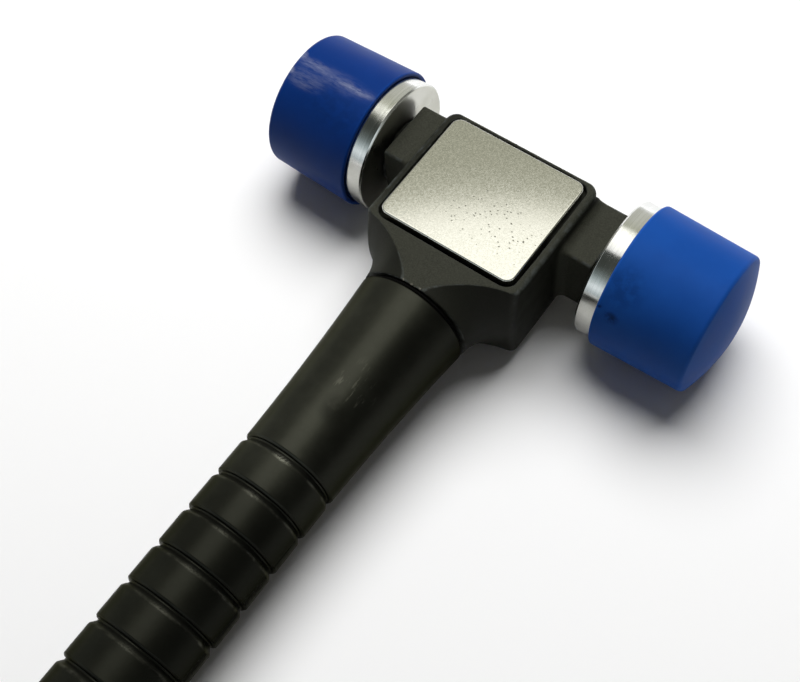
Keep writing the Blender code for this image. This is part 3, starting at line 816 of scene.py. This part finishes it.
# Scuffs with a painted highlight streak, and rim nicks, on the left cap: place and reach in
# millimetres, stretch along each axis, strength
CAP_SCUFF_SHEEN = (
    ((-50.0, -2.6, 18.5), 17.0, (1.0, 4.5, 1.0), 0.22),
    ((-57.0, -1.5, 18.4), 6.5, (1.0, 3.4, 1.0), 0.4),
    ((-46.0, -2.7, 18.6), 9.0, (1.0, 6.5, 1.0), 0.45),
    ((-41.5, -2.5, 18.8), 6.0, (1.0, 4.2, 1.0), 0.55),
    ((-56.5, -6.3, 17.5), 8.0, (1.0, 2.6, 1.0), 0.38),
    ((-61.0, -0.6, 18.2), 1.6, (1.0, 1.0, 1.0), 1.0),
    ((-61.2, -5.4, 17.5), 1.3, (1.0, 1.0, 1.0), 0.8),
)
CAP_SMUDGES = (
    ((37.4, -16.3, 9.7), 1.1, (1.0, 1.0, 1.0), 1.0),
    ((40.9, -17.1, 8.1), 2.2, (0.8, 1.0, 1.0), 0.8),
    ((41.0, -12.0, 14.5), 7.0, (1.0, 0.8, 1.0), 0.3),
    ((-45.0, -9.0, 16.5), 9.0, (0.7, 1.0, 1.0), 0.25),
)


def cap_finish(name, dark, light, sheen):
    """Blue moulded cap: satin skin, cloudy tone, faint scuffs along the length, a painted
    highlight at the mouth's outer edge.

    The left cap has scuffs along its top with a painted highlight streak among them, and is
    nicked at its rim. The right one is notched and smudged at its mouth.
    """
    faint, scuff_sheen_tone, smudged = (0.05, 0.11, 0.31), (0.30, 0.32, 0.42), (0.002, 0.008, 0.035)
    f = Finish(name, metallic=0.0, specular_ior_level=sheen, specular_tint=(0.45, 0.65, 1.0))
    cloud = f.noise(70, 4.0, 0.6)
    skin_grain = f.noise(1500, 3.0, 0.6)
    scuff = f.noise(60, 5.0, 0.7, f.stretch((4.0, 14.0, 14.0)))
    tone = f.mix(f.band(cloud, 0.3, 0.75), dark, light)
    tone = f.mix(f.band(scuff, 0.62, 0.8, 0.0, 0.2), tone, faint)
    # Painted highlight: a paler band at the outer edge of the mouth.
    from_middle = f.math("ABSOLUTE", f.about_axis(X_AXIS)[0])
    lip = f.span(from_middle, CAP_MOUTH + 0.25, CAP_MOUTH + 0.8, 0.35, 0.0)
    tone = f.mix(lip, tone, tuple(1.7 * np.array(light)))
    streaks = f.band(f.noise(150, 6.0, 0.75, f.stretch((1.6, 9.0, 4.0))), 0.3, 0.75)
    blots = f.band(f.noise(420, 4.0, 0.6), 0.35, 0.6)
    # Scuffs that carry a painted highlight, nicks, and smudges.
    for marks, texture, colour in ((CAP_SCUFF_SHEEN, streaks, scuff_sheen_tone), (CAP_SMUDGES, blots, smudged)):
        for place, reach, scale, strength in marks:
            mark = f.times(f.near(place, reach, scale), texture)
            tone = f.mix(f.times(mark, strength), tone, colour)
    f.set("Base Color", tone)
    f.set("Roughness", f.band(cloud, 0.25, 0.8, 0.44, 0.56))
    f.set("Normal", f.bump(skin_grain, 0.12, 0.00004))
    return f.material


# How bright the painted glints on the first rings are, near the end of their ramps
RING_GLINTS = (0.8, 0.25, 0.12, 0.12, 0.12, 0.1)


def handle_finish():
    """Blackened handle: satin skin with turning marks, cloudy tone, scuffs, and worn ring edges
    that carry a painted highlight.

    It is part metal and part dull coating, with its mirror sheen held down toward the edges.
    Painted shade darkens the right side, the grip and the top end at the neck ring, and the
    first rings carry painted glints on top.
    """
    dark, light, grainy = (0.040, 0.041, 0.0335), (0.052, 0.0535, 0.0432), (0.075, 0.075, 0.062)
    flank_shade, grip, rubbed_sheen = (0.009, 0.0092, 0.0075), (0.004, 0.0042, 0.0034), (0.12, 0.12, 0.10)
    scratched, smudged = (0.17, 0.17, 0.14), (0.008, 0.008, 0.007)
    bright, gap_shade, sheen = (0.36, 0.36, 0.31), (0.002, 0.002, 0.002), (0.42, 0.42, 0.38)
    f = Finish("handle_black", metallic=0.85, specular_ior_level=0.03, specular_tint=sheen)
    rings = f.turning_marks(Y_AXIS, 2600)
    cloud = f.noise(110, 5.0, 0.65)
    grain = f.noise(2400, 3.0, 0.6)
    tone = f.mix(f.band(cloud, 0.35, 0.75), dark, light)
    tone = f.mix(f.band(grain, 0.62, 0.8, 0.0, 0.3), tone, grainy)
    x, y = f.hammer_place()[:2]
    # Painted shade: the right side darkened.
    tone = f.mix(f.span(x, 3.5, 9, 0.0, 0.74), tone, flank_shade)
    down = f.times(y, -1.0)
    # Painted shade: the grip darkened away from the head.
    tone = f.mix(f.span(down, 80, 112, 0.0, 0.5), tone, grip)
    # Worn ring edges near each ramp's end, lightened also as a painted highlight.
    from_first = f.math("SUBTRACT", down, FIRST_GROOVE * MM)
    from_groove = f.math("MODULO", from_first, GROOVE_PITCH * MM)
    ramp_end = (GROOVE_FLOOR + GROOVE_RAMP) * MM
    from_edge = f.math("ABSOLUTE", f.math("SUBTRACT", from_groove, ramp_end))
    patchy = f.band(f.noise(260, 4.0, 0.65), 0.42, 0.7)
    edge = f.times(f.span(from_edge, 0.1, 0.6, 1.0, 0.0), patchy)
    edge = f.times(edge, f.span(down, 280, 281, 1.0, 0.0))      # none past the last groove
    tone = f.mix(f.times(edge, 0.35), tone, rubbed_sheen)
    scratches = f.band(f.noise(300, 4.0, 0.65, f.stretch((2.6, 0.5, 2.6))), 0.56, 0.68)
    scratches = f.times(scratches, f.near((4.4, -66.8, 11.9), 9.0, (1.5, 1.0, 1.0)))
    tone = f.mix(f.times(scratches, 0.55), tone, scratched)
    smudge = f.near((4.0, -73.4, 11.8), 5.5, (1.3, 1.0, 1.0))
    smudge = f.times(smudge, f.band(cloud, 0.3, 0.55))
    tone = f.mix(f.times(smudge, 0.6), tone, smudged)
    speckle = f.band(grain, 0.35, 0.6)
    # Painted glints: highlights on top of the first rings near their ramps' ends, partly worn
    # patches.
    first_glint = FIRST_GROOVE + GROOVE_FLOOR + 0.8 * GROOVE_RAMP
    for i, strength in enumerate(RING_GLINTS):
        place = (1.7, -(first_glint + i * GROOVE_PITCH), 11.6)
        glint = f.times(f.near(place, 3.2, (1.0, 3.0, 1.0)), speckle)
        tone = f.mix(f.times(glint, strength), tone, bright)
    # Painted shade at the top end, where the handle meets the neck ring.
    at_gap_shade = f.span(down, HANDLE_TOP + 0.4, HANDLE_TOP + 0.8, 0.95, 0.0)
    f.set("Base Color", f.mix(at_gap_shade, tone, gap_shade))
    f.set("Roughness", f.band(cloud, 0.25, 0.8, 0.3, 0.4))
    f.set("Normal", f.bump(rings, 0.08, 0.00003, f.bump(grain, 0.1, 0.00004)))
    return f.material


def ring_finish():
    """Dark soft ring: dull, with a fine grain."""
    f = Finish("ring_black", metallic=0.0, specular_ior_level=0.05)
    grain = f.noise(1800, 3.0)
    f.set("Base Color", f.mix(grain, (0.0015, 0.0015, 0.0015), (0.004, 0.004, 0.0035)))
    f.set("Roughness", f.band(grain, 0.2, 0.8, 0.75, 0.9))
    f.set("Normal", f.bump(grain, 0.2, 0.00005))
    return f.material


def steel_finish(name, dark, light, rough):
    """Machined steel: streaky tone, oil stains and small scratches."""
    f = Finish(name, metallic=1.0)
    streak = f.turning_marks(X_AXIS, 2200)
    stain = f.noise(300, 4.0, 0.6)
    f.set("Base Color", f.mix(f.band(stain, 0.3, 0.75), dark, light))
    f.set("Roughness", f.band(stain, 0.25, 0.8, rough, rough + 0.16))
    f.set("Normal", f.bump(streak, 0.15, 0.00004))
    return f.material


def bond_finish():
    """Grey bond layer: dull and lumpy."""
    f = Finish("bond_grey", metallic=0.0)
    lumps = f.noise(700, 4.0, 0.6)
    f.set("Base Color", f.mix(lumps, (0.09, 0.09, 0.08), (0.15, 0.15, 0.14)))
    f.set("Roughness", f.band(lumps, 0.2, 0.8, 0.6, 0.8))
    f.set("Normal", f.bump(lumps, 0.3, 0.0001))
    return f.material


# ---------------------------------------------------------------- pieces

def show(mesh, body, finish, node=None):
    """Put a mesh into the scene as a piece that moves with a body."""
    piece = bpy.data.objects.new(mesh.name, mesh)
    bpy.context.scene.collection.objects.link(piece)
    mesh.materials.append(finish)
    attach(piece, body)
    if node:
        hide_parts(node)


def dress(node, finish):
    """Give a solid that stays in view its finish."""
    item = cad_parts[node]
    item.data.materials.clear()
    item.data.materials.append(finish)


def build_pieces():
    """Every piece of the hammer, with the solid that it stands for."""
    black = head_finish()
    show(block_mesh(), "hammer", black, "head_body")
    show(boss_mesh(), "hammer", black)
    show(plate_mesh(), "hammer", plate_finish(), "top_plate")
    grip = turned("handle_grip", handle_profile(), -Y_AXIS, GRIP_COUNT)
    show(grip, "hammer", handle_finish(), "handle")
    ring = flat_ring(RING_TOP, RING_BOTTOM, HANDLE_BORE, RING_RADIUS, RING_EDGE)
    ring = turned("neck_ring", ring, -Y_AXIS, ring=True)
    show(ring, "hammer", ring_finish(), "neck_washer")
    steel = steel_finish("stud_steel", (0.42, 0.42, 0.41), (0.58, 0.58, 0.57), 0.28)
    dark_steel = steel_finish("washer_black", (0.02, 0.02, 0.02), (0.045, 0.045, 0.043), 0.42)
    aluminium = puck_finish()
    washer = flat_ring(WASHER_BACK, WASHER_FRONT, STUD_BORE, WASHER_RADIUS, WASHER_EDGE)
    right_blue = ((0.0080, 0.0575, 0.272), (0.0102, 0.070, 0.320), 0.08)
    left_blue = ((0.0033, 0.0268, 0.157), (0.0043, 0.0327, 0.185), 0.12)
    for side, axis, blues in (("right", X_AXIS, right_blue), ("left", -X_AXIS, left_blue)):
        blue = cap_finish(side + "_cap_blue", *blues)
        show(stud_mesh(side + "_thread", axis), "hammer", steel, side + "_stud")
        for kind, profile, slot, finish in (
            ("washer", washer, "washer_black", dark_steel),
            ("puck", puck_profile(), "puck_aluminium", aluminium),
            ("cap", cap_profile(), "cap_blue", blue),
        ):
            node = f"{side}_{kind}"
            mesh = turned(node + "_turned", profile, axis, ring=kind == "washer")
            show(mesh, node + "_body", finish, node)
    dress("handle_stud", steel)
    dress("plate_bond", bond_finish())


# ---------------------------------------------------------------- studio

# Camera, in millimetres and radians about the hammer's crossing point
CAMERA_TURN = 0.73007748
CAMERA_RISE = 1.06786236
CAMERA_ROLL = -0.11342071
CAMERA_SHIFT = (-26.077675, -34.103657)
CAMERA_DISTANCE = 326.890217
CAMERA_FOCAL = 1299.9477     # in pixels of a picture 800 wide
PICTURE_WIDTH = 800
SENSOR = 36


def make_camera():
    """Camera at the photograph's place: it looks along the line of sight, rolled a little."""
    turn, rise, roll = CAMERA_TURN, CAMERA_RISE, CAMERA_ROLL
    sight = Vector((
        math.sin(turn) * math.cos(rise), -math.cos(turn) * math.cos(rise), math.sin(rise)
    ))
    level = Vector((math.cos(turn), math.sin(turn), 0))
    upright = sight.cross(level)
    right = math.cos(roll) * level + math.sin(roll) * upright
    up = math.cos(roll) * upright - math.sin(roll) * level
    across, above = CAMERA_SHIFT
    place = (across * right + above * up + CAMERA_DISTANCE * sight) * MM + Vector(CROSSING)
    lens = bpy.data.cameras.new("camera")
    lens.sensor_width = SENSOR
    lens.lens = CAMERA_FOCAL * SENSOR / PICTURE_WIDTH
    lens.clip_start = 0.01
    lens.clip_end = 100
    camera = bpy.data.objects.new("camera", lens)
    columns = Matrix((right, up, sight)).transposed().to_4x4()
    camera.matrix_world = Matrix.Translation(place) @ columns
    bpy.context.scene.collection.objects.link(camera)
    bpy.context.scene.camera = camera


# Floor, with its distances in millimetres
FLOOR_WHITE = (0.94, 0.94, 0.94)
FLOOR_FAR = (0.80, 0.80, 0.79)
FLOOR_BOUNCE = (0.74, 0.74, 0.71)
FLOOR_REACH = 3000.0
FLOOR_GAP = 0.05
FLOOR_FADE = (360, 1000)

# Room: colours at heights, and places along the hammer's axes, of a direction of length one
FILL_LIGHT = (0.092, 0.09, 0.085)
FRONT_ROOM = (
    (0.00, (0.30, 0.34, 0.35)),
    (0.14, (0.50, 0.56, 0.58)),
    (0.31, (0.86, 0.92, 0.94)),
    (0.45, (0.46, 0.53, 0.54)),
    (0.60, (0.16, 0.19, 0.185)),
    (0.74, (0.055, 0.062, 0.055)),
    (0.86, (0.045, 0.05, 0.044)),
)
BACK_WALL = (
    (0.00, (0.60, 0.60, 0.54)),
    (0.60, (0.56, 0.56, 0.49)),
    (0.85, (0.44, 0.443, 0.34)),
)
FRONT_TO_BACK = (-0.2, 0.2)
WALL_ENDS = ((-0.52, -0.74, (0.40, 0.40, 0.36)), (0.28, 0.50, (0.15, 0.15, 0.133)))
PALE_RIM = ((0.02, (1, 1, 1)), (0.11, (0, 0, 0)))


def make_floor():
    """White floor that touches the caps and the butt, as the hammer lies on it.

    Past the lamp's reach it is shown as pale as a lit floor.
    """
    tilt = math.asin((CAP_MOUTH_RADIUS - GRIP_RADIUS) / HANDLE_END)
    corner = np.array([(-1, -1), (1, -1), (1, 1), (-1, 1)]) * FLOOR_REACH
    height = -(CAP_MOUTH_RADIUS + FLOOR_GAP) / math.cos(tilt) - corner[:, 1] * math.tan(tilt)
    points = np.column_stack((corner, height)) * MM + CROSSING
    mesh = bpy.data.meshes.new("floor")
    mesh.from_pydata(points.tolist(), [], [(0, 1, 2, 3)])
    floor = bpy.data.objects.new("floor", mesh)
    bpy.context.scene.collection.objects.link(floor)
    f = Finish("floor_white", roughness=0.9, specular_ior_level=0.0)
    ends = {0: f.place, 1: tuple(CROSSING)}
    far = f.node("VectorMath", ends, operation="DISTANCE").outputs["Value"]
    f.set("Base Color", f.backdrop(FLOOR_BOUNCE, FLOOR_WHITE))
    f.set("Emission Color", f.backdrop((0, 0, 0), FLOOR_FAR))
    f.set("Emission Strength", f.span(far, *FLOOR_FADE))
    mesh.materials.append(f.material)


def make_world():
    """Studio room: a beige wall behind the hammer, and a dark room with pale low light before it.

    Each half has its own colours by height, and they meet over the hammer's sides. The wall is
    dimmer at its left end and dark at its right, and a low rim all round is as pale as the far
    floor. The room is the background and what metal mirrors. Matt surfaces get a plain dim fill
    in its place.
    """
    world = bpy.data.worlds.new("studio")
    bpy.context.scene.world = world
    world.use_nodes = True
    room = Nodes(world.node_tree)
    direction = room.node("TexCoord").outputs["Generated"]
    x, y, z = room.node("SeparateXYZ", {0: direction}).outputs

    def by_height(stops):
        ramp = room.node("ValToRGB", {"Fac": z})
        elements = ramp.color_ramp.elements
        while len(elements) < len(stops):
            elements.new(0.5)
        for element, (place, colour) in zip(elements, stops):
            element.position = place
            element.color = (*colour, 1)
        return ramp.outputs["Color"]

    behind = room.band(y, *FRONT_TO_BACK)
    shown = room.mix(behind, by_height(FRONT_ROOM), by_height(BACK_WALL))
    for start, end, colour in WALL_ENDS:
        shown = room.mix(room.times(room.band(x, start, end), behind), shown, colour)
    shown = room.mix(by_height(PALE_RIM), shown, FLOOR_FAR)
    background = room.tree.nodes["Background"].inputs["Color"]
    room.feed(background, room.backdrop(FILL_LIGHT, shown))


def make_lamp(name, slope, height, spread, radiance, colour):
    """Round soft lamp that hangs level above the head and faces straight down.

    Slope is its place over its height, its radius is spread times the height, and its power is
    pi times its area and radiance.
    """
    lamp = bpy.data.lights.new(name, "AREA")
    lamp.shape = "DISK"
    radius = spread * height * MM
    lamp.size = 2 * radius
    lamp.energy = math.pi * radiance * math.pi * radius * radius
    lamp.color = colour
    item = bpy.data.objects.new(name, lamp)
    item.location = np.array(slope) * height * MM + CROSSING
    bpy.context.scene.collection.objects.link(item)
    return item


build_pieces()
make_camera()
make_floor()
make_world()
key = make_lamp(
    "key_lamp", slope=(-0.26, 0.55, 1.0), height=1000, spread=0.54, radiance=7.1, colour=(1, 1, 1)
)
key.visible_glossy = False      # it lights matt surfaces alone
panel = make_lamp(
    "key_panel", slope=(-0.15, 0.20, 1.0), height=800, spread=0.415, radiance=1.17,
    colour=(1.0, 0.985, 0.96),
)
panel.visible_diffuse = False   # it shows in mirrored light alone
bpy.context.scene.view_settings.view_transform = "Standard"
